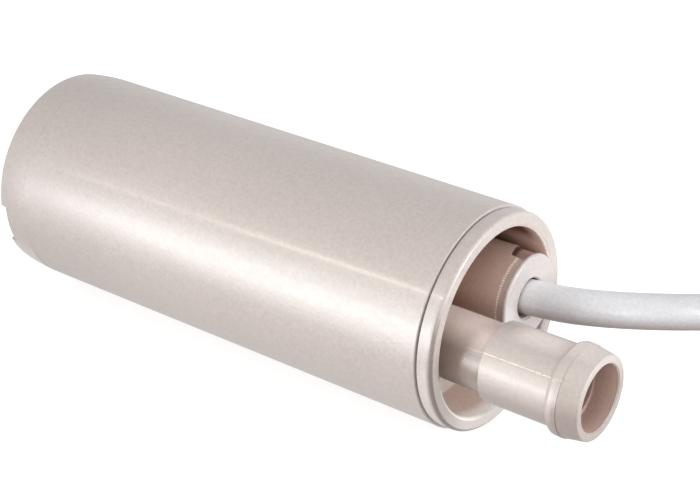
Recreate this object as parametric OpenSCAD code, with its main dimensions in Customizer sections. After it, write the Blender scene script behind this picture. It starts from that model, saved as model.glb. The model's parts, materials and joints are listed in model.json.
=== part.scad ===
// Slim submersible water pump, lying on its side.
// X runs along the pump's axis from the intake to the outlet, Z is up and the surface is at z = 0.

/* [Body] */
// Outside diameter of the housing tube
body_d = 38; // [36:0.5:42]
// Wall of the housing tube
tube_wall = 1.5; // [1.2:0.1:2]
// Length of the housing tube
tube_len = 86.5; // [84:0.5:100]
// Turn of the outlet fittings about the pump's axis
head_turn = 8; // [0:1:20]

/* [Intake] */
// Length of the tapered skirt beyond the tube
skirt_len = 6.5; // [6.2:0.1:9]
// How far the skirt's outside comes in from the tube to its open rim
skirt_taper = 0.5; // [0:0.1:1.2]
// Wall of the skirt at its open rim
skirt_wall = 1.9; // [1.5:0.1:2.4]
// Length of the skirt's spigot inside the tube
skirt_spigot_len = 5; // [4:0.5:6]
// Depth of the notches in the skirt's rim
notch_depth = 1.5; // [1:0.1:2.5]
// Width of the notches in the skirt's rim
notch_w = 7.8; // [4:0.1:10]
// Number of notches round the rim
notch_count = 2; // [2:1:4]
// Angle of the first notch about the axis
notch_angle = -167; // [-180:1:180]
// Diameter of the intake eye
eye_d = 14; // [10:0.5:16]
// Thickness of the plate round the eye
eye_plate = 1.4; // [1:0.1:2]
// Thickness of the strainer
strainer_t = 1.2; // [0.8:0.1:1.6]
// Width of the strainer's slots
slot_w = 1.6; // [1:0.1:1.8]
// Number of slots in the strainer
slot_count = 16; // [8:1:18]

/* [Impeller] */
// Diameter of the impeller
impeller_d = 27.6; // [24:0.1:28]
// Thickness of its back disc
impeller_disc = 1.2; // [0.8:0.1:1.6]
// Height of its blades
blade_h = 6; // [3:0.5:6]
// Thickness of its blades
blade_t = 0.9; // [0.7:0.1:1.4]
// Number of blades
blade_count = 6; // [4:1:8]
// Radius that the blades are curved to
blade_bend = 8.5; // [8:0.1:9]
// Diameter of the impeller's hub
hub_d = 6.4; // [5:0.1:8]
// Gap between the impeller and the fixed walls beside it
impeller_gap = 0.4; // [0.3:0.1:0.6]

/* [Outlet head] */
// Length of the rim that stands out of the tube
rim_len = 3; // [2:0.1:4]
// Step from the tube's outside in to the rim
rim_step = 0.4; // [0.1:0.1:0.7]
// Wall of the head between its recess and the tube
head_wall = 1.4; // [1.3:0.1:1.8]
// Depth of the recess below the rim's face
recess_depth = 18.4; // [14:0.2:20]
// Thickness of the recess floor
floor_t = 2; // [1.6:0.1:3]
// Radius of the rim's outer corner
rim_round = 0.6; // [0.3:0.1:1]

/* [Hose tail] */
// Distance of the barb from the line of the recess's wall
barb_gap = 0.3; // [0.1:0.05:0.6]
// Reach of the hose tail beyond the tube
tail_reach = 27; // [24:0.5:40]
// Diameter of its neck
neck_d = 11.6; // [11:0.1:12]
// Distance of the step on the neck from the tube
step_reach = 9.1; // [6:0.1:10]
// Diameter of the tail behind the barb
tail_d = 13.5; // [12.6:0.1:13.8]
// Diameter of the barb
barb_d = 15.3; // [14.6:0.1:16]
// Length of the barb's ramp
ramp_len = 1; // [0.6:0.1:1.6]
// Length of the flat round the barb
barb_land = 1.2; // [1:0.1:2]
// Length from the barb's flat to the tip
barb_nose = 3.5; // [3:0.1:5]
// Diameter at the tip
tip_d = 14; // [13.4:0.1:14.4]
// Diameter of the water way
bore_d = 9.2; // [8.6:0.1:9.4]
// Diameter of the wider mouth
mouth_d = 11.1; // [10:0.1:11.4]
// Depth of the wider mouth
mouth_depth = 4; // [2:0.5:6]
// Width of the collar at the recess floor
collar_w = 1.1; // [0.8:0.1:1.1]
// Thickness of that collar
collar_t = 1.2; // [0.8:0.1:2]

/* [Cable gland] */
// Distance of the gland from the recess's wall
gland_gap = 0.15; // [0.1:0.05:0.4]
// Outside diameter of the gland
gland_d = 15.2; // [14.8:0.1:15.3]
// Diameter of the chamber inside it
chamber_d = 11; // [10.4:0.1:11.6]
// Reach of the fixed boss beyond the tube
boss_reach = 2.1; // [0.5:0.1:2.5]
// Length of the cap's flange
cap_len = 1.7; // [1.4:0.1:3]
// Length of the cap's plug inside the boss
cap_plug = 4; // [3:0.5:5]
// Diameter of the hole that the cable leaves by
cap_hole_d = 6.9; // [6.6:0.1:7.6]
// Length of the rubber grommet
grommet_len = 4; // [3:0.5:5]
// Length of the clamp ring behind the grommet
clamp_len = 2; // [1.5:0.5:3]
// Distance of the cable's free end of the gland behind the cap's face
cable_inset = 2; // [0.5:0.1:3]
// Depth of the notch in the gland's edge
gland_notch_depth = 1.2; // [0.6:0.1:1.4]
// Slant of the wall at the notch's end
gland_notch_slant = 20; // [0:1:30]

/* [Motor] */
// Diameter of the motor can
can_d = 27.7; // [27:0.1:27.9]
// Wall of the motor can
can_wall = 0.8; // [0.6:0.1:1]
// Diameter of the shaft
shaft_d = 2.3; // [2:0.1:3.2]
// Running gap between the shaft and its bushes
bush_gap = 0.03; // [0.02:0.01:0.08]
// Outside diameter of the bushes
bush_d = 6; // [5.4:0.1:7]
// Room for the water between the motor's capsule and the head
head_gap = 6.6; // [5:0.1:9]
// Diameter of the armature
armature_d = 20.4; // [19:0.1:21]
// Gap between the windings and the commutator
core_gap = 2.3; // [1:0.1:5]
// Air gap between the armature and the magnets
air_gap = 0.5; // [0.4:0.05:0.8]
// Number of armature poles
pole_count = 5; // [3:1:7]
// Diameter of the commutator
commutator_d = 6.8; // [6.4:0.1:8]
// Length of the commutator
commutator_len = 5; // [4.5:0.5:5.5]

/* [Motor capsule] */
// Outside diameter of the capsule that keeps the motor dry
capsule_d = 30; // [29.9:0.1:30.6]
// Thickness of its front wall
capsule_front = 2; // [1.6:0.1:3]
// Thickness of its cover's flange
cover_t = 2; // [2:0.1:3]
// Length of the cover's spigot
cover_spigot = 3; // [2.5:0.1:3.4]
// Diameter of the shaft seal
seal_d = 9; // [8:0.5:10]
// Outside diameter of the dry duct from the capsule to the gland
duct_d = 9; // [8.4:0.1:9.4]
// Bore of the dry duct
duct_bore = 6.8; // [6.4:0.1:7]
// Number of fins on the guide ring
fin_count = 8; // [6:1:10]
// Length of the guide ring
guide_len = 6; // [5:0.5:7]
// Slant of its fins
fin_slant = 25; // [0:5:35]
// Width of the square-section seal rings
ring_w = 1.2; // [1:0.1:1.3]
// Depth of their grooves
ring_depth = 0.8; // [0.6:0.1:0.9]

/* [Cable] */
// Diameter of the cable
cable_d = 6; // [5.6:0.1:6.2]
// Diameter of one insulated core
core_d = 1.8; // [1.6:0.1:2]
// Distance of each core from the cable's middle
core_off = 1.3; // [1.1:0.05:1.4]
// Straight run of the folded hank
hank_run = 30; // [20:1:60]
// Radius of the hank's tightest fold
hank_fold = 18; // [18:0.5:24]
// Distance between neighbouring loops
loop_step = 6.6; // [6.6:0.1:8]
// Number of loops in each of the hank's two layers
layer_loops = 2; // [2:1:3]
// Height between the two layers
layer_step = 6.5; // [6.5:0.1:7]
// Thickness of the ties round the hank
tie_t = 0.6; // [0.4:0.1:1]
// Width of the ties
tie_w = 6; // [4:1:14]
// Length of the bared cores at the cable's end
core_end_len = 32; // [20:1:50]
// Length of the tinned tips
tip_len = 7; // [4:1:10]

/* [Hidden] */
$fn = 96;

body_r = body_d / 2;
tube_r = body_r - tube_wall;
axis_z = body_r;
whole_len = skirt_len + tube_len + tail_reach;
intake_x = -whole_len / 2;
joint_x = intake_x + skirt_len;
edge_x = joint_x + tube_len;
skirt_rim_r = body_r - skirt_taper;
eye_inset = 1;

// Outlet head, measured from the tube's outlet edge
face_x = edge_x + rim_len;
floor_x = face_x - recess_depth;
back_x = floor_x - floor_t;
recess_r = tube_r - head_wall;
rim_r = body_r - rim_step;
tail_off = recess_r - barb_gap - barb_d / 2;
gland_off = recess_r - gland_gap - gland_d / 2;
seam_w = 0.25;
seam_depth = 0.4;
hole_round = 0.6;
head_seal_back = 12;
head_seal_x = edge_x - head_seal_back;

// Gland, along its own axis
gland_r = gland_d / 2;
boss_x = edge_x + boss_reach;
exit_x = boss_x + cap_len;
plug_x = boss_x - cap_plug;
grommet_x = plug_x - grommet_len;
clamp_x = grommet_x - clamp_len;
jacket_bare = 0.3;
jacket_x = clamp_x - jacket_bare;
chamber_x = floor_x + floor_t;
boss_edge = 0.25;
gland_notch_ahead = 0.5;
gland_notch_at = 76;
gland_notch_w = 5.7;
cap_edge = 0.6;
free_x = exit_x - cable_inset;

// Motor and its capsule, from the front wall backwards
eye_front_x = joint_x - eye_inset;
chamber_front_x = eye_front_x + eye_plate;
blade_gap = 0.5;
blade_x = chamber_front_x + blade_gap;
disc_x = blade_x + blade_h;
capsule_x = disc_x + impeller_disc + impeller_gap;
can_front_x = capsule_x + capsule_front;
can_boss_len = 1.5;
can_boss_d = 10;
can_x = can_front_x + can_boss_len;
lead_room = 10.5;
cover_end_x = back_x - head_gap;
cover_x = cover_end_x - cover_t;
can_end_x = cover_x - lead_room;
can_len = can_end_x - can_x;
can_r = can_d / 2;
can_in_r = can_r - can_wall;
capsule_r = capsule_d / 2;
magnet_in_r = armature_d / 2 + air_gap;
winding_room = 5.5;
core_x = can_x + winding_room;
magnet_over = 1;
pole_hub_r = 4;
pole_shoe = 1.6;
pole_arm_w = 2.6;
winding_over = 2.2;
front_bush_len = 3.5;
plate_plug = 2;
plate_flange = 1;
plate_boss = 2.8;
rear_bush_len = 4.8;
plate_x = can_end_x - plate_plug;
shaft_short = 0.5;
shaft_end_x = plate_x + rear_bush_len - shaft_short;
hub_nose_t = 1.5;
shaft_start_x = blade_x + hub_nose_t;
commutator_gap = 1;
commutator_end_x = plate_x - commutator_gap;
commutator_x = commutator_end_x - commutator_len;
core_end_x = commutator_x - core_gap - winding_over;
core_len = core_end_x - core_x;
brush_gap = 0.1;
brush_w = 3;
brush_top = 5.7;
terminal_t = 0.5;
terminal_w = 2.4;
terminal_y = 8.65;
terminal_z = 4.8;
terminal_reach = 6;
terminal_x = can_end_x + terminal_reach;
arm_t = 0.3;
lead_straight = 0.6;
bend_x = terminal_x + lead_straight;
joined_x = cover_x + cover_t * 0.75;

// Cable
cable_r = cable_d / 2;
core_r = core_d / 2;
gland_y = gland_off * cos(head_turn);
gland_z = axis_z + gland_off * sin(head_turn);
exit_point = [free_x, gland_y, gland_z];

// The free stretch from the gland to the hank, as chosen points
free_route = [
    [42.7, 9.1, 20.7], [48.3, 11.3, 20.8], [53.3, 14.6, 20.6], [57.6, 18.8, 20], [61.4, 23.6, 19.1],
    [65.3, 28.3, 18], [70, 32.2, 16.9], [75.6, 34.8, 15.8], [82, 36.3, 14.5], [88.5, 36.8, 13.2],
    [95, 36.9, 12], [101, 36.9, 10.9], [106.5, 36.9, 10.2]
];
hank_start = [118, 36.9, 10.1];
ring_sides = 6;
rings_a_loop = 24;
end_part = 1 / 12;
free_sides = 10;
rest_gap = 0.1;
hank_y = hank_start[1] - hank_fold - loop_step * layer_loops;

// Shapes turned on the pump's axis, and shapes placed in the head's own turned frame
module on_axis(x = 0) {
    translate([x, 0, axis_z]) rotate([0, 90, 0]) children();
}

module in_head(x = 0, y = 0, z = 0) {
    translate([0, 0, axis_z]) rotate([head_turn, 0, 0]) translate([x, y, z]) rotate([0, 90, 0]) children();
}

module at_tail(x = 0) {
    in_head(x, -tail_off) children();
}

module at_gland(x = 0) {
    in_head(x, gland_off) children();
}

module ring(outer, inner, len) {
    difference() {
        cylinder(r = outer, h = len);
        translate([0, 0, -0.5]) cylinder(r = inner, h = len + 1);
    }
}

module sector(outer, inner, len, from, span) {
    rotate([0, 0, from]) rotate_extrude(angle = span) translate([inner, 0]) square([outer - inner, len]);
}

// Points of a quarter or part circle
function arc(cx, cy, r, from, to, steps = 6) = [
    for (i = [0:steps]) let (a = from + (to - from) * i / steps) [cx + r * cos(a), cy + r * sin(a)]
];

// Angle about the pump's axis, from +Y towards +Z, in the turned shapes' own plane
function turned(angle) = angle + 90;

module housing_tube() {
    edge = 0.1;
    color("#cfc3bb")
        on_axis(joint_x)
            rotate_extrude()
                polygon([
                    [tube_r, 0], [body_r, 0], [body_r, tube_len - edge],
                    [body_r - edge, tube_len], [tube_r, tube_len]
                ]);
}

module intake_skirt() {
    inner_r = skirt_rim_r - skirt_wall;
    spigot_wall = 1.5;
    rim_edge = 0.4;
    front = joint_x - intake_x;
    steps = 8;
    color("#cabdb5")
        on_axis(intake_x)
            difference() {
                rotate_extrude()
                    polygon(concat(
                        [[inner_r, 0]],
                        arc(skirt_rim_r - rim_edge, rim_edge, rim_edge, -90, 0),
                        [
                            for (i = [1:steps])
                                let (t = i / steps)
                                [body_r - skirt_taper * (1 - t) * (1 - t), rim_edge + (front - rim_edge) * t]
                        ],
                        [
                            [tube_r, front], [tube_r, front + skirt_spigot_len],
                            [tube_r - spigot_wall, front + skirt_spigot_len],
                            [tube_r - spigot_wall, chamber_front_x - intake_x],
                            [eye_d / 2, chamber_front_x - intake_x],
                            [eye_d / 2, eye_front_x - intake_x], [inner_r, eye_front_x - intake_x]
                        ]
                    ));
                for (i = [0:notch_count - 1])
                    rotate([0, 0, turned(notch_angle + i * 360 / notch_count)])
                        translate([inner_r - 1, -notch_w / 2, -1])
                            cube([skirt_wall + 3, notch_w, notch_depth + 1]);
            }
}

module strainer() {
    outer = skirt_rim_r - skirt_wall;
    middle = 2.6;
    slot_in = 4;
    slot_out = eye_d / 2 - 0.4;
    outer_in = eye_d / 2 + 1.4;
    color("#b9ada6")
        on_axis(eye_front_x - strainer_t)
            difference() {
                cylinder(r = outer, h = strainer_t);
                translate([0, 0, -0.5]) cylinder(r = middle / 2, h = strainer_t + 1);
                for (i = [0:slot_count / 2 - 1])
                    rotate([0, 0, i * 720 / slot_count])
                        translate([slot_in, -slot_w / 2, -0.5])
                            cube([slot_out - slot_in, slot_w, strainer_t + 1]);
                for (i = [0:slot_count - 1])
                    rotate([0, 0, (i + 0.5) * 360 / slot_count])
                        translate([outer_in, -slot_w / 2, -0.5])
                            cube([outer - 1.6 - outer_in, slot_w, strainer_t + 1]);
            }
}

module impeller() {
    hub_r = hub_d / 2;
    start = 2.5;
    sweep = 86;
    nose = 1.2;
    color("#4b5560")
        on_axis(blade_x)
            difference() {
                union() {
                    translate([0, 0, blade_h]) cylinder(d = impeller_d, h = impeller_disc);
                    translate([0, 0, nose]) cylinder(r = hub_r, h = blade_h - nose + 0.1);
                    cylinder(r1 = hub_r - nose, r2 = hub_r, h = nose);
                    intersection() {
                        cylinder(d = impeller_d, h = blade_h + 0.1);
                        for (i = [0:blade_count - 1])
                            rotate([0, 0, i * 360 / blade_count])
                                translate([start, blade_bend, 0])
                                    rotate([0, 0, -90])
                                        rotate_extrude(angle = sweep)
                                            translate([blade_bend - blade_t / 2, 0])
                                                square([blade_t, blade_h + 0.1]);
                    }
                }
                translate([0, 0, shaft_start_x - blade_x])
                    cylinder(d = shaft_d, h = blade_h + impeller_disc);
            }
}

module guide_ring() {
    sleeve = 0.6;
    fin_t = 1;
    outer = tube_r;
    color("#d8d2cb")
        on_axis(capsule_x)
            union() {
                ring(capsule_r + sleeve, capsule_r, guide_len);
                intersection() {
                    ring(outer, capsule_r + sleeve / 2, guide_len);
                    for (i = [0:fin_count - 1])
                        rotate([0, 0, i * 360 / fin_count])
                            translate([capsule_r, 0, guide_len / 2])
                                rotate([fin_slant, 0, 0])
                                    translate([0, -fin_t / 2, -guide_len])
                                        cube([outer - capsule_r + 1, fin_t, 2 * guide_len]);
                }
            }
}

module outlet_head() {
    groove_in = tube_r - ring_depth;
    web_w = 5;
    color("#d2c6be")
        difference() {
            union() {
                on_axis(back_x)
                    rotate_extrude()
                        polygon(concat(
                            [
                                [0, 0], [tube_r, 0], [tube_r, edge_x - back_x],
                                [rim_r - seam_depth, edge_x - back_x],
                                [rim_r - seam_depth, edge_x - back_x + seam_w],
                                [rim_r, edge_x - back_x + seam_w]
                            ],
                            arc(rim_r - rim_round, face_x - back_x - rim_round, rim_round, 0, 90),
                            arc(recess_r + hole_round, face_x - back_x - hole_round, hole_round, 90, 180),
                            [[recess_r, floor_t], [0, floor_t]]
                        ));
                at_gland(floor_x - 0.5)
                    rotate_extrude()
                        polygon([
                            [0, 0], [gland_r, 0], [gland_r, boss_x - floor_x + 0.5 - boss_edge],
                            [gland_r - boss_edge, boss_x - floor_x + 0.5], [0, boss_x - floor_x + 0.5]
                        ]);
                in_head(floor_x - 0.5, gland_off)
                    translate([-web_w / 2, gland_r - 1, 0])
                        cube([web_w, recess_r - gland_off - gland_r + 1.6, edge_x - floor_x]);
                at_gland(cover_x) cylinder(d = duct_d, h = back_x - cover_x + 0.5);
            }
            on_axis(head_seal_x) ring(tube_r + 1, groove_in, ring_w);
            at_gland(cover_x - 0.5) cylinder(d = duct_bore, h = chamber_x - cover_x + 1);
            at_gland(chamber_x) cylinder(d = chamber_d, h = boss_x - chamber_x + 1);
            at_tail(back_x - 0.5) cylinder(d = neck_d, h = floor_t + 1);
            gland_notch(boss_x + 1);
        }
}

// The flat-bottomed notch in the gland's edge, cut alike in the boss and in the cap, up to one x.
// Its end wall is slanted and it widens a little towards the face.
module gland_notch(end) {
    corner_x = edge_x + gland_notch_ahead;
    side = gland_notch_w / 2;
    past = 4;
    clear = 0.3;
    at_gland()
        rotate([0, 0, gland_notch_at - head_turn])
            intersection() {
                translate([0, gland_r - gland_notch_depth, 0])
                    rotate([-90, 0, 0])
                        linear_extrude(gland_notch_depth + 1)
                            polygon([
                                [-side, -corner_x],
                                [past, (side + past) * tan(gland_notch_slant) - corner_x],
                                [past, -end], [-side - (end - corner_x) / 6, -end]
                            ]);
                cylinder(r = gland_r + clear, h = exit_x);
            }
}

module head_seal() {
    color("#2b2b2b") on_axis(head_seal_x) ring(tube_r, tube_r - ring_depth, ring_w);
}

module hose_tail() {
    neck_r = neck_d / 2;
    tail_r = tail_d / 2;
    barb_r = barb_d / 2;
    tip_r = tip_d / 2;
    step = 0.3;
    tip_edge = 0.25;
    line_w = 0.12;
    land_x = edge_x + tail_reach - barb_nose - barb_land;
    nose_x = land_x + barb_land;
    end_x = edge_x + tail_reach;
    step_x = edge_x + step_reach;
    color("#cfc1b9")
        at_tail(back_x)
            rotate_extrude()
                polygon(concat(
                    [
                        [bore_d / 2, 0], [neck_r, 0], [neck_r, floor_t],
                        [neck_r + collar_w, floor_t], [neck_r + collar_w, floor_t + collar_t],
                        [neck_r, floor_t + collar_t],
                        [neck_r, step_x - back_x - step], [tail_r, step_x - back_x],
                        [tail_r, land_x - back_x - ramp_len]
                    ],
                    arc(barb_r - ramp_len, land_x - back_x, ramp_len, -60, 0, 5),
                    [
                        [barb_r, nose_x - back_x], [barb_r - line_w, nose_x - back_x],
                        [barb_r - line_w, nose_x - back_x + line_w]
                    ],
                    arc(tip_r - tip_edge, end_x - back_x - tip_edge, tip_edge, 10, 90, 5),
                    [
                        [mouth_d / 2 + 0.2, end_x - back_x], [mouth_d / 2, end_x - back_x - 0.2],
                        [mouth_d / 2, end_x - back_x - mouth_depth],
                        [bore_d / 2, end_x - back_x - mouth_depth]
                    ]
                ));
}

module gland_cap() {
    hole_r = cap_hole_d / 2;
    face_round = 0.5;
    hole_edge = 0.3;
    len = exit_x - boss_x;
    color("#d6cbc4")
        difference() {
            at_gland(plug_x)
                rotate_extrude()
                    polygon(concat(
                        [[hole_r, 0], [chamber_d / 2, 0], [chamber_d / 2, cap_plug], [gland_r, cap_plug]],
                        arc(gland_r - face_round, cap_plug + len - face_round, face_round, 0, 90),
                        [[hole_r + hole_edge, cap_plug + len], [hole_r, cap_plug + len - hole_edge]]
                    ));
            gland_notch(exit_x - cap_edge);
        }
}

module gland_grommet() {
    color("#3a3a3a") at_gland(grommet_x) ring(chamber_d / 2, cable_r, grommet_len);
}

module cable_clamp() {
    split = 1.2;
    color("#a9a9a9")
        at_gland(clamp_x)
            difference() {
                ring(chamber_d / 2 - 0.4, cable_r, clamp_len);
                translate([0, -split / 2, -0.5]) cube([chamber_d, split, clamp_len + 1]);
            }
}

module cable_entry() {
    color("#dcdbe0") at_gland(jacket_x) cylinder(r = cable_r, h = free_x - jacket_x);
}

// The two cores side by side, one on each side of the gland's axis
module core_pair(x, len, r) {
    for (side = [-1, 1])
        in_head(x, gland_off, side * core_off) cylinder(r = r, h = len);
}

module gland_potting() {
    color("#5d564f")
        difference() {
            at_gland(chamber_x) cylinder(d = chamber_d, h = jacket_x - chamber_x);
            core_pair(chamber_x - 0.5, jacket_x - chamber_x + 1, core_r);
        }
}

module motor_capsule() {
    color("#e4e0da")
        on_axis(capsule_x)
            difference() {
                cylinder(r = capsule_r, h = cover_x - capsule_x);
                translate([0, 0, capsule_front]) cylinder(r = can_r, h = cover_x - capsule_x);
                translate([0, 0, -0.5]) cylinder(d = seal_d, h = capsule_front + 1);
            }
}

module shaft_seal() {
    color("#222222") on_axis(capsule_x) ring(seal_d / 2, shaft_d / 2 + bush_gap, capsule_front);
}

module capsule_cover() {
    rib_w = 2;
    rib_step = 0.2;
    spigot_wall = 1.8;
    seal_x = cover_x - cover_spigot + 0.8;
    duct_seal_x = cover_x + (cover_t - ring_w) / 2;
    color("#e4e0da")
        difference() {
            union() {
                on_axis(cover_x) cylinder(r = capsule_r, h = cover_t);
                on_axis(cover_x - cover_spigot) ring(can_r, can_r - spigot_wall, cover_spigot + 0.5);
                on_axis(cover_x + rib_step)
                    intersection() {
                        cylinder(r = tube_r, h = cover_t - 2 * rib_step);
                        for (i = [0:2])
                            rotate([0, 0, 30 + i * 120])
                                translate([capsule_r - 2, -rib_w / 2, -1])
                                    cube([tube_r, rib_w, cover_t + 2]);
                    }
            }
            on_axis(seal_x) ring(can_r + 1, can_r - ring_depth, ring_w);
            at_gland(cover_x - cover_spigot - 1) cylinder(d = duct_d, h = cover_spigot + cover_t + 2);
            at_gland(duct_seal_x) cylinder(d = duct_d + 2 * ring_depth, h = ring_w);
        }
}

module capsule_seal() {
    color("#222222") on_axis(cover_x - cover_spigot + 0.8) ring(can_r, can_r - ring_depth, ring_w);
}

module duct_seal() {
    color("#222222")
        at_gland(cover_x + (cover_t - ring_w) / 2) ring(duct_d / 2 + ring_depth, duct_d / 2, ring_w);
}

module motor_can() {
    color("#b8bcc0")
        on_axis(can_front_x)
            difference() {
                union() {
                    cylinder(d = can_boss_d, h = can_boss_len + 0.1);
                    translate([0, 0, can_boss_len]) cylinder(r = can_r, h = can_len);
                }
                translate([0, 0, can_boss_len + can_wall]) cylinder(r = can_in_r, h = can_len);
                translate([0, 0, -0.5]) cylinder(d = bush_d, h = can_len);
            }
}

module front_bush() {
    color("#b08d57") on_axis(can_front_x) ring(bush_d / 2, shaft_d / 2 + bush_gap, front_bush_len);
}

module rear_bush() {
    color("#b08d57") on_axis(plate_x) ring(bush_d / 2, shaft_d / 2 + bush_gap, rear_bush_len);
}

module brush_plate() {
    end_wall = 0.8;
    color("#e8e6df")
        difference() {
            on_axis(plate_x)
                union() {
                    cylinder(r = can_in_r, h = plate_plug + 0.1);
                    translate([0, 0, plate_plug]) cylinder(r = can_r, h = plate_flange);
                    translate([0, 0, plate_plug]) cylinder(d = can_boss_d, h = plate_boss + end_wall);
                }
            on_axis(plate_x - 0.5) cylinder(d = bush_d, h = rear_bush_len + 0.5);
            for (side = [-1, 1])
                terminal_blade(side, plate_x - 1, plate_plug + plate_flange + 2);
        }
}

module upper_magnet() {
    color("#3d3f42") magnet(90);
}

module lower_magnet() {
    color("#3d3f42") magnet(-90);
}

// A magnet shell centred on an angle about the axis
module magnet(angle) {
    span = 140;
    on_axis(core_x - magnet_over)
        sector(can_in_r, magnet_in_r, core_len + 2 * magnet_over, turned(angle) - span / 2, span);
}

module motor_shaft() {
    color("#d0d3d6") on_axis(shaft_start_x) cylinder(d = shaft_d, h = shaft_end_x - shaft_start_x);
}

module armature_core() {
    hub_r = pole_hub_r;
    shoe = pole_shoe;
    arm_w = pole_arm_w;
    reach = 360 / pole_count - 13;
    outer = armature_d / 2;
    color("#8a8f94")
        on_axis(core_x)
            difference() {
                union() {
                    cylinder(r = hub_r, h = core_len);
                    for (i = [0:pole_count - 1])
                        rotate([0, 0, i * 360 / pole_count]) {
                            translate([hub_r - 1, -arm_w / 2, 0]) cube([outer - shoe / 2 - hub_r + 1, arm_w, core_len]);
                            sector(outer, outer - shoe, core_len, -reach / 2, reach);
                        }
                }
                translate([0, 0, -0.5]) cylinder(d = shaft_d, h = core_len + 1);
            }
}

module armature_windings() {
    arm_w = pole_arm_w;
    inner = pole_hub_r + 0.6;
    half_w = inner * tan(180 / pole_count) - 0.4;
    under_shoe = armature_d / 2 - pole_shoe - 0.1;
    outer = sqrt(under_shoe * under_shoe - half_w * half_w);
    len = core_len + 2 * winding_over;
    color("#b5651d")
        on_axis(core_x - winding_over)
            for (i = [0:pole_count - 1])
                rotate([0, 0, i * 360 / pole_count])
                    difference() {
                        translate([inner, -half_w, 0]) cube([outer - inner, 2 * half_w, len]);
                        translate([inner - 1, -arm_w / 2, winding_over])
                            cube([outer - inner + 2, arm_w, core_len]);
                    }
}

module commutator() {
    slot = 0.4;
    slot_depth = 0.8;
    outer = commutator_d / 2;
    color("#c87a4a")
        on_axis(commutator_x)
            difference() {
                cylinder(r = outer, h = commutator_len);
                translate([0, 0, -0.5]) cylinder(d = shaft_d, h = commutator_len + 1);
                for (i = [0:pole_count - 1])
                    rotate([0, 0, (i + 0.5) * 360 / pole_count])
                        translate([outer - slot_depth, -slot / 2, -0.5])
                            cube([slot_depth + 1, slot, commutator_len + 1]);
            }
}

// A brush bears on the commutator from above or below
module brush(side) {
    low = commutator_d / 2 - 0.6;
    difference() {
        in_head(commutator_x + 0.5, 0, 0)
            translate([side > 0 ? -brush_top : low, -brush_w / 2, 0])
                cube([brush_top - low, brush_w, commutator_len - 1]);
        on_axis(commutator_x) cylinder(r = commutator_d / 2 + brush_gap, h = commutator_len);
    }
}

module upper_brush() {
    color("#2e2e30") brush(1);
}

module lower_brush() {
    color("#2e2e30") brush(-1);
}

// The flat blade of a terminal, which passes through the brush plate
module terminal_blade(side, x, len) {
    in_head(x, terminal_y, side * terminal_z)
        translate([-terminal_w / 2, -terminal_t / 2, 0]) cube([terminal_w, terminal_t, len]);
}

// A spring arm carries the brush and turns into the terminal blade
module terminal(side) {
    arm_x = commutator_x + 1.2;
    arm_w = 2;
    union() {
        terminal_blade(side, arm_x, terminal_x - arm_x);
        in_head(arm_x, 0, 0)
            translate([side > 0 ? -brush_top - arm_t : brush_top, -brush_w / 2, 0])
                cube([arm_t, terminal_y + terminal_t / 2 + brush_w / 2, arm_w]);
    }
}

module upper_terminal() {
    color("#c9a24d") terminal(1);
}

module lower_terminal() {
    color("#c9a24d") terminal(-1);
}

// A lead runs from its terminal into the duct and on to the end of the cable's jacket
function lead_route(side) = [
    [terminal_x, terminal_y, side * terminal_z],
    [bend_x, terminal_y, side * terminal_z],
    [joined_x, gland_off, side * core_off],
    [jacket_x, gland_off, side * core_off]
];

module lead(side) {
    translate([0, 0, axis_z])
        rotate([head_turn, 0, 0])
            tube_along(lead_route(side), core_r, free_sides, [1, 0, 0], [1, 0, 0]);
}

module brown_lead() {
    color("#6b3f24") lead(1);
}

module blue_lead() {
    color("#2f5fa8") lead(-1);
}

// Unit vector along a route at one of its points
function unit(v) = v / norm(v);
function heading(route, i) = unit(route[min(i + 1, len(route) - 1)] - route[max(i - 1, 0)]);

// One ring of points round a route's point, its first point level with the middle
function ring_points(middle, along, r, sides) =
    let (side = unit([along[1], -along[0], 0]), up = cross(side, along))
    [for (k = [0:sides - 1]) middle + r * (cos(k * 360 / sides) * side + sin(k * 360 / sides) * up)];

// A closed tube swept along a route, square to a given direction at each end
module tube_along(route, r, sides, first, last) {
    count = len(route);
    points = [
        for (i = [0:count - 1])
            each ring_points(route[i], i == 0 ? first : i == count - 1 ? last : heading(route, i), r, sides)
    ];
    walls = [
        for (i = [0:count - 2], k = [0:sides - 1])
            let (a = i * sides + k, b = i * sides + (k + 1) % sides)
            each [[a, b, a + sides], [b, b + sides, a + sides]]
    ];
    near = [for (k = [1:sides - 2]) [0, k + 1, k]];
    far = [for (k = [1:sides - 2]) let (a = (count - 1) * sides) [a, a + k, a + k + 1]];
    polyhedron(points = points, faces = concat(walls, near, far));
}

// A point of the hank: loops spiral in on the upper layer, drop to the lower one and spiral out.
// Each loop is four rings along a run, eight round the far fold, four back and eight round the near fold.
function hank_radius(turn) = hank_fold + loop_step * abs(layer_loops - turn);
function hank_point(turn) =
    let (
        r = hank_radius(turn),
        drop = min(max((turn - layer_loops + 0.25) / 0.5, 0), 1),
        z = hank_start[2] - layer_step * (0.5 - 0.5 * cos(180 * drop)),
        part = (turn - floor(turn)) * 6,
        back = part >= 3,
        q = back ? part - 3 : part,
        a = 90 * max(q - 1, 0),
        x = hank_run * min(q, 1) + r * sin(a),
        y = r * cos(a)
    )
    [hank_start[0] + (back ? hank_run - x : x), hank_y + (back ? -y : y), z];

hank_end_turn = 2 * layer_loops + end_part;
hank_route = [
    for (i = [0:round(hank_end_turn * rings_a_loop)]) hank_point(i / rings_a_loop)
];
hank_last = hank_route[len(hank_route) - 1];
hank_tail = [hank_last[0] + cable_d, hank_last[1], hank_last[2]];
hank_whole = concat([hank_start - [cable_d, 0, 0]], hank_route, [hank_tail]);

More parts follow.
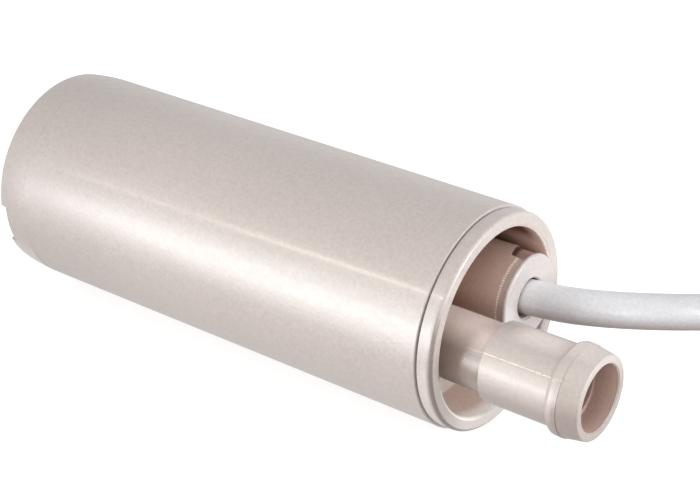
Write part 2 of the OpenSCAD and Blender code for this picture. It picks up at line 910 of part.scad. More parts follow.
// Least distance between the surfaces of turns that lie beside each other
near_turn = rings_a_loop / 2;
least_gap = min([
    for (i = [0:len(hank_route) - 1], j = [i + near_turn:1:len(hank_route) - 2])
        let (
            a = hank_route[j],
            d = hank_route[j + 1] - a,
            t = min(max((hank_route[i] - a) * d / (d * d), 0), 1)
        )
        norm(hank_route[i] - a - t * d)
]) - cable_d;
function total(v, i = 0) = i < len(v) ? v[i] + total(v, i + 1) : 0;
function length_of(route) = total([for (i = [1:len(route) - 1]) norm(route[i] - route[i - 1])]);
whole_free = concat([exit_point], free_route, [hank_start - [cable_d, 0, 0]]);
echo(least_gap_of_the_hank = least_gap);
echo(cable_length = length_of(whole_free) + length_of(hank_whole));

module cable_free() {
    color("#dcdbe0") tube_along(whole_free, cable_r, free_sides, [1, 0, 0], [1, 0, 0]);
}

module cable_hank() {
    color("#dcdbe0") tube_along(hank_whole, cable_r, ring_sides, [1, 0, 0], [1, 0, 0]);
}

// A flat tie round the strands between two radii of the hank, on its near (-1) or far (1) run
module tie(side, inner_r, outer_r) {
    clear = 0.3;
    mid_x = hank_start[0] + hank_run / 2;
    width = outer_r - inner_r + cable_d + 2 * clear;
    top_z = hank_start[2] + cable_r + clear;
    translate([mid_x - tie_w / 2, hank_y + side * (inner_r + outer_r) / 2, 0])
        difference() {
            translate([0, -width / 2 - tie_t, 0]) cube([tie_w, width + 2 * tie_t, top_z + tie_t]);
            translate([-1, -width / 2, tie_t]) cube([tie_w + 2, width, top_z - tie_t]);
        }
}

module hank_ties() {
    near = 1 / 12;
    far = 7 / 12;
    color("#3f4145") {
        tie(1, hank_radius(layer_loops + near), hank_radius(2 * layer_loops + near));
        tie(-1, hank_radius(layer_loops - 1 + far), hank_radius(2 * layer_loops - 1 + far));
    }
}

// The bared cores spread and sink to the surface beyond the end of the jacket
function core_end_route(side) = [
    hank_tail + [0, side * core_off, 0],
    hank_tail + [4, side * (core_off + 0.1), -0.3],
    hank_tail + [core_end_len * 0.4, side * (core_off + 1.2), core_r + rest_gap - hank_tail[2] + 0.9],
    hank_tail + [core_end_len * 0.7, side * (core_off + 2.4), core_r + rest_gap - hank_tail[2]],
    hank_tail + [core_end_len, side * (core_off + 3), core_r + rest_gap - hank_tail[2]]
];

module core_end(side) {
    tube_along(core_end_route(side), core_r, free_sides, [1, 0, 0], [1, 0, 0]);
}

module brown_core_end() {
    color("#6b3f24") core_end(1);
}

module blue_core_end() {
    color("#2f5fa8") core_end(-1);
}

module tinned_tips() {
    color("#c9ccd0")
        for (side = [-1, 1])
            translate(core_end_route(side)[4])
                rotate([0, 90, 0])
                    cylinder(d = core_d * 0.6, h = tip_len);
}

housing_tube();
intake_skirt();
strainer();
impeller();
guide_ring();
outlet_head();
head_seal();
hose_tail();
gland_cap();
gland_grommet();
cable_clamp();
cable_entry();
gland_potting();
motor_capsule();
shaft_seal();
capsule_cover();
capsule_seal();
duct_seal();
motor_can();
front_bush();
rear_bush();
brush_plate();
upper_magnet();
lower_magnet();
motor_shaft();
armature_core();
armature_windings();
commutator();
upper_brush();
lower_brush();
upper_terminal();
lower_terminal();
brown_lead();
blue_lead();
cable_free();
cable_hank();
hank_ties();
brown_core_end();
blue_core_end();
tinned_tips();
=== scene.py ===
import bpy
import json
import math
from mathutils import Matrix, Vector


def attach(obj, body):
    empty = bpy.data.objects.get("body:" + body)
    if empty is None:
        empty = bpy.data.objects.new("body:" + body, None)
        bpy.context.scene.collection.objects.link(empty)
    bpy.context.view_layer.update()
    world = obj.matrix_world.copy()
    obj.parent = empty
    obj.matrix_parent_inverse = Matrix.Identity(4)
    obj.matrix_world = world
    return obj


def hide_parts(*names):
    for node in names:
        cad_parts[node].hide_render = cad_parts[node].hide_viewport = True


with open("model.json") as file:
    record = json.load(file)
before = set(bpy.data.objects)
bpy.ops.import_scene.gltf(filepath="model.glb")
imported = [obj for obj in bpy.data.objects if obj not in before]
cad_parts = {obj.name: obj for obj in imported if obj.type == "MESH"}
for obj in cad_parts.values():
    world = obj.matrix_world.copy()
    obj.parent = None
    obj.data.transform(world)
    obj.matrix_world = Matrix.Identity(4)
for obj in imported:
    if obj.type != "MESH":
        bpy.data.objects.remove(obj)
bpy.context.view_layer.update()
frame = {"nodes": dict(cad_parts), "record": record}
scene = bpy.context.scene
MM = 0.001
WHITE = (1.0, 1.0, 1.0)

# Places and sizes of the pump, in millimetres. A line along X is given by its y and z.
PUMP_LINE, TAIL_LINE, GLAND_LINE = (0.0, 19.0), (-8.07, 17.87), (8.2687, 20.1621)
JOINT_X, EDGE_X = -53.5, 33.0  # the tube's ends, at the skirt and at the outlet
RIM_X, RIM_R, RECESS_R = 36.0, 18.6, 16.1  # the face of the outlet head, its rim and its recess
BOSS_X, CAP_X, BOSS_R, HOLE_R = 35.1, 36.8, 7.6, 3.45  # the cable's boss, its cap and the hole in that
NOTCH_X, NOTCH_HALF, NOTCH_DEPTH = 33.5, 2.85, 1.2  # the cut in the boss: its end, half its width, its depth
NOTCH_TURN, NOTCH_SLANT = math.radians(76), math.radians(20)  # its turn about the gland, the slant of its end
BARB_X, TAIL_X = 55.3, 60.0  # the flat round the barb, and the end of the hose tail
NECK_R, MOUTH_R, MOUTH_DEPTH = 5.8, 5.55, 4.0


def put(name, data):
    """A new object in the scene."""
    obj = bpy.data.objects.new(name, data)
    scene.collection.objects.link(obj)
    return obj


def placed(at, right, up, back):
    """The matrix of an object at a point, with its own axes along three directions."""
    return Matrix.Translation(at) @ Matrix((right, up, back)).transposed().to_4x4()


# Camera: its place in millimetres, its directions, and its lens
CAM_AT = (172.69, -217.55, 166.22)
CAM_RIGHT = (0.7939, 0.6081, 0.0)
CAM_UP = (-0.2821, 0.3682, 0.8859)
CAM_LENS, CAM_SENSOR = 94.17, 36.0
CAM_NEAR, CAM_FAR = 0.01, 20.0


def make_camera():
    data = bpy.data.cameras.new("camera")
    data.sensor_fit = "HORIZONTAL"
    data.sensor_width = CAM_SENSOR
    data.lens = CAM_LENS
    data.clip_start, data.clip_end = CAM_NEAR, CAM_FAR
    camera = put("camera", data)
    right, up = Vector(CAM_RIGHT).normalized(), Vector(CAM_UP).normalized()
    camera.matrix_world = placed(Vector(CAM_AT) * MM, right, up, right.cross(up).normalized())
    scene.camera = camera


make_camera()

# Cable, in millimetres: its radius, where it leaves the gland, and the points of its free stretch
CABLE_R = 3.0
CABLE_SIDES = 20
EXIT = (34.8, *GLAND_LINE)
FREE = [
    (42.7, 9.1, 20.7), (48.3, 11.3, 20.8), (53.3, 14.6, 20.6), (57.6, 18.8, 20.0), (61.4, 23.6, 19.1),
    (65.3, 28.3, 18.0), (70.0, 32.2, 16.9), (75.6, 34.8, 15.8), (82.0, 36.3, 14.5), (88.5, 36.8, 13.2),
    (95.0, 36.9, 12.0), (101.0, 36.9, 10.9), (106.5, 36.9, 10.2),
]
FREE_STEPS = 4  # points of the smooth route for each stretch between two of these
HANK_START = (118.0, 36.9, 10.1)
RUN, FOLD, STEP = 30.0, 18.0, 6.6  # the hank's straight runs, the radius of its inner fold, and turn to turn
LOOPS, LAYER, DROP = 2, 6.5, 0.5  # turns in a layer, the drop to the next, and its share of a turn
HANK_Y = HANK_START[1] - FOLD - STEP * LOOPS
HANK_TURNS = 2 * LOOPS + 1 / 12
TURN_STEPS = 48


def hank_point(turn):
    """A point of the hank, wound inwards in the upper layer and outwards in the lower. Each half turn is a
    straight run in its first third, then a fold."""
    r = FOLD + STEP * abs(LOOPS - turn)
    drop = min(max((turn - LOOPS) / DROP + 0.5, 0.0), 1.0)
    z = HANK_START[2] - LAYER * (0.5 - 0.5 * math.cos(math.pi * drop))
    back, third = divmod((turn - math.floor(turn)) * 6, 3)
    a = math.pi / 2 * max(third - 1, 0)
    x = RUN * min(third, 1) + r * math.sin(a)
    y = r * math.cos(a)
    return Vector((HANK_START[0] + (RUN - x if back else x), HANK_Y + (-y if back else y), z))


def smooth(points, steps):
    """Catmull-Rom points through the given ones."""
    out = []
    for i, (p1, p2) in enumerate(zip(points, points[1:])):
        p0 = points[i - 1] if i else p1 * 2 - p2
        p3 = points[i + 2] if i + 2 < len(points) else p2 * 2 - p1
        for k in range(steps):
            t = k / steps
            out.append(0.5 * (p1 * 2 + (p2 - p0) * t + (p0 * 2 - p1 * 5 + p2 * 4 - p3) * t * t
                              + (p1 * 3 - p0 - p2 * 3 + p3) * t ** 3))
    out.append(points[-1].copy())
    return out


def sweep(name, path, radius, sides):
    """A closed tube along a path in millimetres, its rings carried on without twist."""
    verts = []
    side = (path[1] - path[0]).normalized().cross(Vector((0, 0, 1))).normalized()
    for i, at in enumerate(path):
        ahead = (path[min(i + 1, len(path) - 1)] - path[max(i - 1, 0)]).normalized()
        side = (side - ahead * side.dot(ahead)).normalized()
        up = side.cross(ahead)
        for k in range(sides):
            a = 2 * math.pi * k / sides
            verts.append((at + side * (radius * math.cos(a)) + up * (radius * math.sin(a))) * MM)
    last = len(verts) - sides
    faces = []
    for ring in range(0, last, sides):
        for k in range(sides):
            a, b = ring + k, ring + (k + 1) % sides
            faces.append((a, a + sides, b + sides, b))
    faces.append(tuple(range(sides)))
    faces.append(tuple(reversed(range(last, len(verts)))))
    mesh = bpy.data.meshes.new(name)
    mesh.from_pydata(verts, [], faces)
    mesh.validate()
    for poly in mesh.polygons:
        poly.use_smooth = len(poly.vertices) == 4
    return put(name, mesh)


def cable_route():
    """The free stretch, the hank, and a short straight end."""
    straight = Vector((2 * CABLE_R, 0, 0))
    start = Vector(HANK_START)
    free = smooth([Vector(p) for p in (EXIT, *FREE)] + [start - straight, start], FREE_STEPS)[:-FREE_STEPS]
    hank = [hank_point(i / TURN_STEPS) for i in range(round(HANK_TURNS * TURN_STEPS) + 1)]
    end = hank[-1] + straight
    return free + hank + [hank[-1].lerp(end, 0.5), end]


cable_path = cable_route()
cable = sweep("cable", cable_path, CABLE_R, CABLE_SIDES)
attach(cable, "pump_body")
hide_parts("cable_free", "cable_hank")


# Nodes of the materials and the world
class Tree:
    """The nodes of a material or the world. A value is an output, a number or a colour."""

    def __init__(self, owner):
        owner.use_nodes = True
        self.owner = owner
        self.nodes, self.links = owner.node_tree.nodes, owner.node_tree.links
        self.coord = self.add("ShaderNodeTexCoord")

    def add(self, kind, **settings):
        node = self.nodes.new(kind)
        for name, setting in settings.items():
            setattr(node, name, setting)
        return node

    def feed(self, socket, value):
        if isinstance(value, bpy.types.NodeSocket):
            self.links.new(value, socket)
        else:
            socket.default_value = (*value, 1.0) if isinstance(value, tuple) else value

    def fill(self, node, values):
        """Feed a node's inputs, by name."""
        for name, value in values.items():
            self.feed(node.inputs[name], value)
        return node

    def rise(self, value, start, end):
        """0 where a value is at start, and 1 where it is at end."""
        node = self.add("ShaderNodeMapRange")
        for socket, number in zip(node.inputs, (value, start, end, 0.0, 1.0)):
            self.feed(socket, number)
        return node.outputs[0]

    def mix(self, factor, a, b, blend="MIX"):
        node = self.add("ShaderNodeMix", data_type="RGBA", blend_type=blend)
        for index, value in ((0, factor), (6, a), (7, b)):
            self.feed(node.inputs[index], value)
        return node.outputs[2]


class Material(Tree):
    """A material's nodes. Places and limits are in millimetres."""

    def __init__(self, name):
        super().__init__(bpy.data.materials.new(name))
        self.shader = self.nodes["Principled BSDF"]

    def noise(self, scale, detail=3.0, roughness=0.5):
        values = {"Vector": self.coord.outputs["Object"], "Scale": scale, "Detail": detail,
                  "Roughness": roughness}
        return self.fill(self.add("ShaderNodeTexNoise"), values).outputs["Fac"]

    def ramp(self, value, *stops):
        """Greys or colours through stops, each a position and what is there."""
        node = self.add("ShaderNodeValToRGB")
        elements = node.color_ramp.elements
        while len(elements) < len(stops):
            elements.new(0.5)
        for element, (position, colour) in zip(elements, stops):
            element.position = position
            element.color = (*colour, 1.0) if isinstance(colour, tuple) else (colour, colour, colour, 1.0)
        self.feed(node.inputs["Fac"], value)
        return node.outputs["Color"]

    def bump(self, height, strength, distance):
        values = {"Strength": strength, "Distance": distance, "Height": height}
        self.fill(self.shader, {"Normal": self.fill(self.add("ShaderNodeBump"), values).outputs["Normal"]})

    def calc(self, operation, *values):
        node = self.add("ShaderNodeMath", operation=operation)
        for socket, value in zip(node.inputs, values):
            self.feed(socket, value)
        return node.outputs[0]

    def sum_of(self, out, *terms):
        """A number plus the terms, each an output and its factor."""
        for value, factor in terms:
            out = self.calc("MULTIPLY_ADD", value, factor, out)
        return out

    def times(self, out, *factors):
        for factor in factors:
            out = self.calc("MULTIPLY", out, factor)
        return out

    def parts(self, vector):
        """The x, y and z of the place or the normal of a point of the surface."""
        node = self.add("ShaderNodeSeparateXYZ")
        self.feed(node.inputs[0], self.coord.outputs[vector])
        return node.outputs

    def down(self):
        """0 where the surface faces up, and 1 where it faces down."""
        return self.sum_of(0.5, (self.parts("Normal")[2], -0.5))

    def off(self, line):
        """How far a point is from a line along X, in y and in z."""
        _, at_y, at_z = self.parts("Object")
        return [self.sum_of(-middle * MM, (at, 1.0)) for middle, at in zip(line, (at_y, at_z))]

    def far(self, line):
        """The distance from a line along X."""
        dy, dz = self.off(line)
        return self.calc("SQRT", self.calc("ADD", self.times(dy, dy), self.times(dz, dz)))

    def dots(self, line, count):
        """A wave from 0 to 1 and back, so many times round a line along X."""
        turn = self.calc("ARCTAN2", *self.off(line))
        return self.sum_of(0.5, (self.calc("SINE", self.times(turn, count)), 0.5))

    def patch(self, *limits):
        """1 inside a patch and 0 outside it. A limit is a mask, or a measure with where it is 0 and where it
        is 1."""
        masks = [self.rise(limit[0], limit[1] * MM, limit[2] * MM) if isinstance(limit, tuple) else limit
                 for limit in limits]
        return self.times(*masks)

    def tint(self, base, colour, *limits):
        """The base, with a colour laid over it inside a patch."""
        return self.mix(self.patch(*limits), base, colour)


# Painted light and shade on the outlet head: a highlight on the side of its rim, shade at its corner, light
# on its face
RIM_SIDE_HIGHLIGHT, RIM_CORNER_SHADE, RIM_FACE_LIGHT = (0.45, 0.395, 0.368), (0.17, 0.135, 0.125), (0.418, 0.361, 0.336)
# A painted highlight on the lip of the recess, and a painted glint on the edge round it
LIP_HIGHLIGHT, LIP_HIGHLIGHT_LOW = (0.72, 0.61, 0.56), (1.0, 0.93, 0.89)
LIP_DEEPER = 1.2  # how much farther in the lip reaches at the bottom
GLINT_LEFT, GLINT_LOW = (0.78, 0.72, 0.68), (0.43, 0.385, 0.36)
# Painted light and shade on the wall of the recess near its mouth: warm, lighter at its bottom and on its
# right
WALL_BOTTOM_LIT, WALL_SIDE, WALL_RIGHT_LIT = (0.74, 0.565, 0.49), (0.55, 0.385, 0.325), (0.76, 0.55, 0.47)
# Painted shade farther in, a painted shadow at its top, and a painted pool of light on its floor
WALL_DEEP_SHADE, WALL_TOP_SHADOW, FLOOR_LIT_PATCH = (0.40, 0.235, 0.182), (0.12, 0.035, 0.012), (1.0, 0.94, 0.89)
# A painted shadow, with a painted lit edge, low beside the cap
GAP_LIT_EDGE, GAP_SHADOW = (1.0, 0.95, 0.91), (0.07, 0.052, 0.045)
# The cap's end, cooler, with painted light low on it, and a painted glint on the seam between the cap and the
# boss
CAP_TOP, CAP_BOTTOM_LIT, SEAM_GLINT = (0.345, 0.309, 0.300), (0.45, 0.405, 0.395), (1.0, 0.96, 0.92)
# Painted shade at the top of the hole and painted light at its bottom, and a painted shadow in the cut
HOLE_TOP_SHADE, HOLE_BOTTOM_LIT, NOTCH_SHADOW = (0.26, 0.16, 0.13), (0.80, 0.62, 0.56), (0.02, 0.008, 0.004)
# How many dots of the painted glint go round the seam
SEAM_GLINT_DOTS = 104
# Painted light and shade on the hose tail: its neck, its underside, the ridge of light along its top, its
# nose and its bore
NECK_TOP_LIT, NECK_SIDE_SHADE, NECK_UNDER_SHADE = (0.73, 0.605, 0.55), (0.18, 0.145, 0.130), (0.10, 0.075, 0.065)
NECK_FOOT_SHADOW, TAIL_UNDER_SHADE, TAIL_RIDGE_HIGHLIGHT = (0.25, 0.178, 0.15), (0.26, 0.217, 0.197), (0.56, 0.49, 0.46)
NOSE_UNDER_SHADE, BORE_MOUTH, BORE_DEEP_SHADE = (0.25, 0.205, 0.186), (0.52, 0.37, 0.32), (0.30, 0.20, 0.17)
# Painted light on the cable's sheath between two places along X, how strong it is, and painted shade on its
# underside
SHEATH_ENDS, SHEATH_SHARE, SHEATH_UNDER_SHADE = (36.0, 76.0), 0.9, (0.20, 0.143, 0.128)
SHEATH_LIGHT_STOPS = (
    (0.0, (0.84, 0.82, 0.83)),
    (0.22, (0.55, 0.543, 0.553)),
    (0.55, (0.39, 0.384, 0.395)),
    (0.85, (0.325, 0.321, 0.331)),
)
# Painted shade on the tube and the skirt towards the intake, and a painted reflection low on the skirt
INTAKE_SHADE, INTAKE_SHADE_ENDS, SKIRT_LOW_REFLECTION = (0.292, 0.254, 0.237), (-25.0, -60.0), (0.375, 0.338, 0.318)
# The broken line of their joint, darker low down
JOINT, JOINT_LOW, JOINT_BREAKS = (0.272, 0.233, 0.216), (0.215, 0.18, 0.165), 700


def rim_shade(n, base):
    """Painted light on the low part of the rim, a highlight on its side and light on its face, and painted
    shade at the corner between them.
    """
    at_x, _, at_z = n.parts("Object")
    out = n.far(PUMP_LINE)
    base = n.tint(base, RIM_SIDE_HIGHLIGHT, (at_x, EDGE_X + 0.15, EDGE_X + 0.3), (out, RIM_R - 0.4, RIM_R - 0.2),
                  (at_z, 21.0, 17.0))
    base = n.tint(base, RIM_CORNER_SHADE, (at_x, RIM_X - 1.2, RIM_X - 0.4), (out, RIM_R - 0.6, RIM_R - 0.35),
                  (at_z, 30.0, 25.0))
    return n.tint(base, RIM_FACE_LIGHT, (at_x, RIM_X - 0.3, RIM_X - 0.05), (out, RIM_R - 0.45, RIM_R - 0.65),
                  (at_z, 27.0, 19.0))


def recess_shade(n, base):
    """Painted shade in the recess, darker and redder with depth and darkest at its top, with painted light at
    its bottom. Its wall has painted light beside the cap and a painted shadow lower down. Its lip has a
    painted highlight, and its edge a painted glint low on the left."""
    at_x, at_y, at_z = n.parts("Object")
    out, boss = n.far(PUMP_LINE), n.far(GLAND_LINE)
    near = n.tint(WALL_BOTTOM_LIT, WALL_SIDE, (at_z, 4.0, 16.0))
    near = n.tint(near, WALL_RIGHT_LIT, (at_y, 8.0, 14.0), (out, RECESS_R - 0.3, RECESS_R))
    # A painted shadow with a lit edge on the wall low beside the cap
    gap_shade = n.tint(GAP_LIT_EDGE, GAP_SHADOW, (at_x, BOSS_X + 0.5, BOSS_X - 0.3))
    near = n.tint(near, gap_shade, (at_y, 8.0, 12.0), (at_z, 22.0, 18.0))
    deep = n.tint(near, WALL_DEEP_SHADE, (at_x, EDGE_X + 0.5, EDGE_X - 6.0))
    deep = n.tint(deep, WALL_TOP_SHADOW, (at_z, 27.0, 30.0), (at_x, EDGE_X + 2.0, EDGE_X),
                  (boss, BOSS_R + 0.1, BOSS_R + 0.3))
    deep = n.tint(deep, near, (at_z, 7.0, 4.0))
    deep = n.tint(deep, FLOOR_LIT_PATCH, (at_x, EDGE_X - 5.9, EDGE_X - 6.5), (at_z, 6.0, 4.0))
    base = n.tint(base, deep, (out, RECESS_R + 0.25, RECESS_R + 0.05), (at_x, RIM_X + 1.0, RIM_X - 0.8))
    # A painted highlight on the lip, reaching deeper in at the bottom
    low = n.patch((at_z, 12.0, 5.0))
    mouth = n.sum_of(0.0, (at_x, 1.0), (low, LIP_DEEPER * MM))
    base = n.tint(base, n.mix(low, LIP_HIGHLIGHT, LIP_HIGHLIGHT_LOW), (out, RECESS_R - 0.25, RECESS_R - 0.1),
                  (out, RECESS_R + 0.35, RECESS_R + 0.15), (mouth, RIM_X - 2.0, RIM_X - 0.2))
    # A painted glint on the edge round the mouth, low on the left
    glint = n.tint(GLINT_LEFT, GLINT_LOW, (at_y, -9.0, -2.0))
    return n.tint(base, glint, (out, RECESS_R - 0.05, RECESS_R + 0.1), (out, RECESS_R + 0.6, RECESS_R + 0.4),
                  (at_x, RIM_X - 0.8, RIM_X - 0.5), (at_z, 17.0, 12.0), (at_y, 10.0, 5.0))


def notch_shadow(n):
    """Where the painted shadow lies in the cut in the boss, darkest at its slanted end."""
    y, z = GLAND_LINE
    c, s, slope = math.cos(NOTCH_TURN), math.sin(NOTCH_TURN), math.tan(NOTCH_SLANT)
    at_x, at_y, at_z = n.parts("Object")
    along = n.sum_of((c * z - s * y) * MM, (at_y, s), (at_z, -c))
    above = n.sum_of(-(c * y + s * z) * MM, (at_y, c), (at_z, s))
    past_end = n.sum_of((slope * NOTCH_HALF - NOTCH_X) * MM, (at_x, 1.0), (along, slope))
    floor_r = BOSS_R - NOTCH_DEPTH
    return n.patch((n.far(GLAND_LINE), BOSS_R - 0.03, BOSS_R - 0.15), (above, floor_r - 0.2, floor_r - 0.05),
                   (at_x, CAP_X - 0.6, CAP_X - 0.7), (along, -NOTCH_HALF - 0.2, -NOTCH_HALF),
                   (past_end, -0.2, -0.1), (past_end, 1.0, 0.05))


def gland_shade(n, base):
    """The cap's end is cooler, with painted light towards its bottom. The seam has a painted glint in dots,
    the hole painted shade above and painted light below, and the cut a painted shadow.
    """
    at_x, _, at_z = n.parts("Object")
    boss = n.far(GLAND_LINE)
    end = n.tint(CAP_TOP, CAP_BOTTOM_LIT, (at_z, 25.0, 17.0))
    hole = n.tint(HOLE_TOP_SHADE, HOLE_BOTTOM_LIT, (at_z, 22.0, 19.0))
    base = n.tint(base, end, (at_x, CAP_X - 0.5, CAP_X - 0.2), (boss, BOSS_R + 0.05, BOSS_R - 0.1))
    # A painted glint in dots along the seam between the cap and the boss
    base = n.tint(base, SEAM_GLINT, (boss, BOSS_R - 0.5, BOSS_R - 0.3), (boss, BOSS_R + 0.15, BOSS_R + 0.05),
                  (at_x, BOSS_X - 0.2, BOSS_X - 0.1), (at_x, BOSS_X + 0.2, BOSS_X + 0.1),
                  n.ramp(n.dots(GLAND_LINE, SEAM_GLINT_DOTS), (0.35, 0.15), (0.6, 1.0)))
    # Painted shade at the top of the hole and painted light at its bottom
    base = n.tint(base, hole, (boss, HOLE_R + 0.15, HOLE_R + 0.05))
    # A painted shadow in the cut
    return n.tint(base, NOTCH_SHADOW, notch_shadow(n))


def head_shade(n, base):
    return gland_shade(n, recess_shade(n, rim_shade(n, base)))


def tail_shade(n, base):
    """Painted light on the top of the neck and painted shade towards its foot. The tail has a painted ridge
    of light along its top, painted shade below and on its nose, and warm painted shade in its bore."""
    at_x, _, at_z = n.parts("Object")
    out, down = n.far(TAIL_LINE), n.down()
    # Painted light on the neck's top, and painted shade on its side and underside
    neck = n.tint(NECK_TOP_LIT, NECK_SIDE_SHADE, (at_z, 23.3, 20.6))
    neck = n.tint(neck, NECK_UNDER_SHADE, (at_z, 18.8, 17.2))
    base = n.tint(base, neck, (out, NECK_R + 0.75, NECK_R + 0.35), (at_x, EDGE_X + 15.0, EDGE_X + 5.0))
    # A painted shadow at the foot of the neck
    base = n.tint(base, NECK_FOOT_SHADOW, (at_x, EDGE_X + 8.0, EDGE_X + 5.5), (at_z, 24.0, 18.0))
    # Painted shade on the underside of the tail
    base = n.tint(base, TAIL_UNDER_SHADE, n.ramp(down, (0.48, 0.0), (0.68, 0.85)))
    # A painted highlight along the top of the tail
    base = n.tint(base, TAIL_RIDGE_HIGHLIGHT, n.ramp(down, (0.0, 0.9), (0.045, 0.0)),
                  (at_x, EDGE_X + 11.0, EDGE_X + 14.0), (at_x, TAIL_X + 2.0, TAIL_X - 8.0))
    # Painted shade under the nose
    base = n.tint(base, NOSE_UNDER_SHADE, (at_x, BARB_X + 0.2, BARB_X + 0.7), (at_z, 23.5, 17.5))
    # Painted light and shade in the bore, warm at its mouth and darker deeper in
    inner = n.tint(BORE_MOUTH, BORE_DEEP_SHADE, (at_x, TAIL_X, TAIL_X - MOUTH_DEPTH))
    return n.tint(base, inner, (out, MOUTH_R + 0.15, MOUTH_R + 0.05), (at_x, TAIL_X, TAIL_X - 0.5))


def cable_shade(n, base):
    """Painted light on the sheath, palest where it leaves the gland, and warmer painted shade underneath."""
    from_gland = n.patch((n.parts("Object")[0], *SHEATH_ENDS))
    # Painted light, palest where the sheath leaves the gland and fading along it
    base = n.mix(SHEATH_SHARE, base, n.ramp(from_gland, *SHEATH_LIGHT_STOPS))
    # Painted shade, warmer, underneath
    return n.tint(base, SHEATH_UNDER_SHADE, n.ramp(n.down(), (0.47, 0.0), (0.9, 0.95)))


def tube_shade(n, base):
    """Painted shade makes the tube and the skirt a little darker towards the intake. The line of their joint
    is faint and broken. Low down the joint is darker, and a painted reflection makes the skirt lighter."""
    at_x, _, at_z = n.parts("Object")
    line = n.patch((at_x, JOINT_X - 0.3, JOINT_X - 0.1), (at_x, JOINT_X + 0.2, JOINT_X),
                   n.ramp(n.noise(JOINT_BREAKS, 1, 0.5), (0.42, 0.0), (0.66, 1.0)))
    low = n.patch((at_z, 13.0, 8.0))
    # Painted shade towards the intake
    base = n.tint(base, INTAKE_SHADE, (at_x, *INTAKE_SHADE_ENDS))
    base = n.tint(base, JOINT, line)
    # A painted reflection of the bright floor low on the skirt
    base = n.tint(base, SKIRT_LOW_REFLECTION, low, (at_x, JOINT_X - 0.1, JOINT_X - 1.1))
    return n.tint(base, JOINT_LOW, low, (at_x, JOINT_X - 0.4, JOINT_X - 0.1), (at_x, JOINT_X + 0.3, JOINT_X))


# Moulded plastic: the scales of its mottling, fleck, uneven gloss and grain, and the grain's depth in metres
MOTTLE, FLECK, GLOSS, GRAIN, GRAIN_DEPTH = 26, 1600, 800, 1900, 0.00009
# Inner pieces: the scales of their variation and grain, the grain's depth, and how far the colour varies
VARIATION, FINE_GRAIN, FINE_DEPTH, VARY = 300, 1800, 0.00004, 0.12


def moulded(name, light, dark, shade=None, rough=0.36, level=0.5, coat=0.0, polish=0.14, fleck=1.0):
    n = Material(name)
    base = n.ramp(n.noise(MOTTLE, 3, 0.6), (0.35, dark), (0.68, light))
    if shade:
        base = shade(n, base)
    spots = n.ramp(n.noise(FLECK, 3, 0.75), (0.34, 1 - 0.09 * fleck), (0.64, 1 + 0.06 * fleck))
    gloss = n.ramp(n.noise(GLOSS, 3, 0.6), (0.3, rough - 0.06), (0.7, rough + 0.07))
    n.fill(n.shader, {"Base Color": n.mix(1.0, base, spots, "MULTIPLY"), "Roughness": gloss,
                      "Specular IOR Level": level, "Coat Weight": coat, "Coat Roughness": polish})
    n.bump(n.noise(GRAIN, 2, 0.6), 0.5, GRAIN_DEPTH)
    return n.owner


def plain(name, colour, rough=0.5, metal=0.0):
    n = Material(name)
    dark, light = (tuple(min(c * k, 1.0) for c in colour) for k in (1 - VARY, 1 + VARY))
    colours = n.ramp(n.noise(VARIATION), (0.35, dark), (0.65, light))
    n.fill(n.shader, {"Base Color": colours, "Roughness": rough, "Metallic": metal})
    n.bump(n.noise(FINE_GRAIN), 0.2, FINE_DEPTH)
    return n.owner


LIGHT, DARK = (0.352, 0.306, 0.285), (0.334, 0.290, 0.269)
shell = moulded("shell_plastic", LIGHT, DARK, tube_shade, rough=0.41, level=0.7, coat=0.3)
head_plastic = moulded("head_plastic", LIGHT, DARK, head_shade, rough=0.41, level=0.7, coat=0.3)
tail_plastic = moulded("tail_plastic", (0.388, 0.335, 0.310), (0.366, 0.317, 0.293), tail_shade, rough=0.45,
                       level=0.6, coat=0.3, polish=0.08, fleck=0.75)
sheath = moulded("cable_pvc", (0.50, 0.49, 0.505), (0.475, 0.465, 0.48), cable_shade, level=0.7, fleck=0.9)
BY_NODE = {"outlet_head": head_plastic, "gland_cap": head_plastic, "hose_tail": tail_plastic}
MATERIALS = {
    "shell": shell,
    "shell_shaded": moulded("strainer_plastic", (0.36, 0.30, 0.28), (0.32, 0.27, 0.25)),
    "dark_plastic": plain("impeller_plastic", (0.05, 0.055, 0.065), 0.45),
    "inner_plastic": plain("inner_plastic", (0.70, 0.67, 0.62), 0.45),
    "seal_rubber": plain("seal_rubber", (0.012, 0.012, 0.012), 0.7),
    "clamp_nylon": plain("clamp_nylon", (0.42, 0.42, 0.42), 0.5),
    "cable_sheath": sheath,
    "potting": plain("potting_resin", (0.07, 0.06, 0.05), 0.35),
    "steel": plain("steel", (0.55, 0.56, 0.58), 0.32, 1.0),
    "bronze": plain("bronze", (0.60, 0.42, 0.18), 0.4, 1.0),
    "ferrite": plain("ferrite", (0.04, 0.04, 0.045), 0.6),
    "copper": plain("copper", (0.70, 0.30, 0.12), 0.35, 1.0),
    "carbon": plain("carbon", (0.02, 0.02, 0.02), 0.6),
    "core_brown": plain("core_brown", (0.10, 0.035, 0.015), 0.4),
    "core_blue": plain("core_blue", (0.01, 0.045, 0.22), 0.4),
    "tie": plain("tie_plastic", (0.02, 0.02, 0.022), 0.5),
    "tinned": plain("tinned_strands", (0.62, 0.62, 0.64), 0.35, 1.0),
}


def dress(obj, material):
    obj.data.materials.clear()
    obj.data.materials.append(material)


for part in frame["record"]["subparts"]:
    dress(frame["nodes"][part["node"]], BY_NODE.get(part["node"], MATERIALS[part["material_slot"]]))
dress(cable, sheath)

# Floor: half its side and how far it lies below the pump, in metres, its light and two close greys
FLOOR_HALF, FLOOR_DROP, FLOOR_GLOW = 3.0, 0.0002, 0.78
FLOOR_DARK, FLOOR_LIGHT = (0.29, 0.29, 0.29), (0.31, 0.31, 0.31)


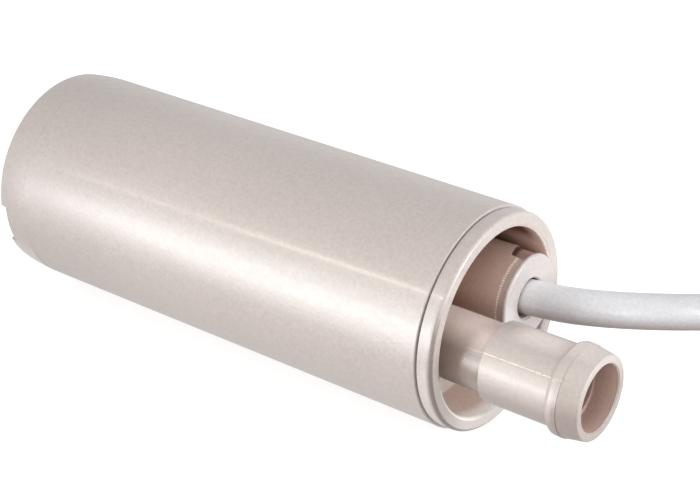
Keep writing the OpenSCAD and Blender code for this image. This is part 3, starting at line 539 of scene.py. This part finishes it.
def make_floor():
    corners = [(x * FLOOR_HALF, y * FLOOR_HALF, -FLOOR_DROP) for x, y in ((-1, -1), (1, -1), (1, 1), (-1, 1))]
    mesh = bpy.data.meshes.new("floor")
    mesh.from_pydata(corners, [], [(0, 1, 2, 3)])
    floor = put("floor", mesh)
    n = Material("floor_white")
    greys = n.ramp(n.noise(3), (0.3, FLOOR_DARK), (0.7, FLOOR_LIGHT))
    n.fill(n.shader, {"Base Color": greys, "Roughness": 0.9, "Specular IOR Level": 0.1,
                      "Emission Color": WHITE, "Emission Strength": FLOOR_GLOW})
    floor.visible_shadow = False
    floor.visible_glossy = False
    floor.visible_diffuse = False
    dress(floor, n.owner)


# World: its colour below the horizon, and over it a bright patch far behind on the right, a dark one low in
# front on the right, and the half above. Each has its colour, its direction, and how near to that it starts
# and is full.
BELOW = (0.76, 0.75, 0.745)
WORLD_LAYERS = (
    ((1.3, 1.3, 1.3), (0.62, 0.78, 0.0), 0.35, 0.85),
    ((0.20, 0.17, 0.15), (0.66, -0.52, -0.52), 0.93, 0.97),
    ((1.05, 1.05, 1.06), (0.0, 0.0, 1.0), -0.16, 0.02),
)


def make_world():
    scene.world = bpy.data.worlds.new("studio")
    n = Tree(scene.world)
    colour = BELOW
    for over, direction, start, end in WORLD_LAYERS:
        toward = n.add("ShaderNodeVectorMath", operation="DOT_PRODUCT")
        toward.inputs[1].default_value = Vector(direction).normalized()
        n.feed(toward.inputs[0], n.coord.outputs["Generated"])
        colour = n.mix(n.rise(toward.outputs["Value"], start, end), colour, over)
    n.fill(n.nodes["Background"], {"Color": colour})


make_floor()
make_world()
scene.view_settings.view_transform = "Standard"

# Lights, in metres and watts: what the left ones, the right ones and the thin ones face, and their colours
LEFT_AIM, RIGHT_AIM, STRIP_AIM = (-0.01, 0, 0.02), (0.03, 0, 0.02), (0.02, -0.01, 0.025)
COOL, PALE_COOL, WARM = (0.965, 1.0, 1.0), (0.97, 1.0, 1.0), (1.0, 0.94, 0.82)


def lamp(name, size, power, colour):
    data = bpy.data.lights.new(name, "AREA")
    data.shape = "RECTANGLE"
    data.size, data.size_y = size
    data.energy = power
    data.color = colour
    return put(name, data)


def box(name, at, aim, size, power, colour=WHITE):
    """A soft box that faces a point."""
    light = lamp(name, size, power, colour)
    light.location = at
    light.rotation_euler = (Vector(aim) - Vector(at)).to_track_quat("-Z", "Y").to_euler()


def strip(name, start, end, width, power):
    """A thin lamp from one point to another."""
    start, end = Vector(start), Vector(end)
    middle = (start + end) / 2
    along = (end - start).normalized()
    up = (middle - Vector(STRIP_AIM)).normalized().cross(along).normalized()
    light = lamp(name, ((end - start).length, width), power, WARM)
    light.matrix_world = placed(middle, along, up, along.cross(up).normalized())


# A soft box low on the left, brightest in its middle, thin lamps above it, and boxes low in front and right
for height, power in ((0.17, 0.93), (0.32, 1.25), (0.50, 1.35)):
    box("left_box_%d" % (height * 100), (-0.38, -0.645, height * 0.05), LEFT_AIM, (0.33, height), power, COOL)
box("left_high", (-0.30, -0.60, 0.27), LEFT_AIM, (0.20, 0.22), 0.38)
box("left_low", (-0.35, -0.62, -0.17), LEFT_AIM, (0.26, 0.24), 0.6)
box("front_low", (0.45, -0.42, 0.14), RIGHT_AIM, (0.26, 0.26), 1.0)
box("right_box", (0.78, 0.20, 0.16), RIGHT_AIM, (0.30, 0.30), 7.3, PALE_COOL)
strip("left_strip", (-0.44, -0.517, 0.367), (-0.25, -0.525, 0.478), 0.016, 0.55)
strip("left_strip_end", (-0.535, -0.507, 0.312), (-0.44, -0.517, 0.367), 0.030, 0.11)
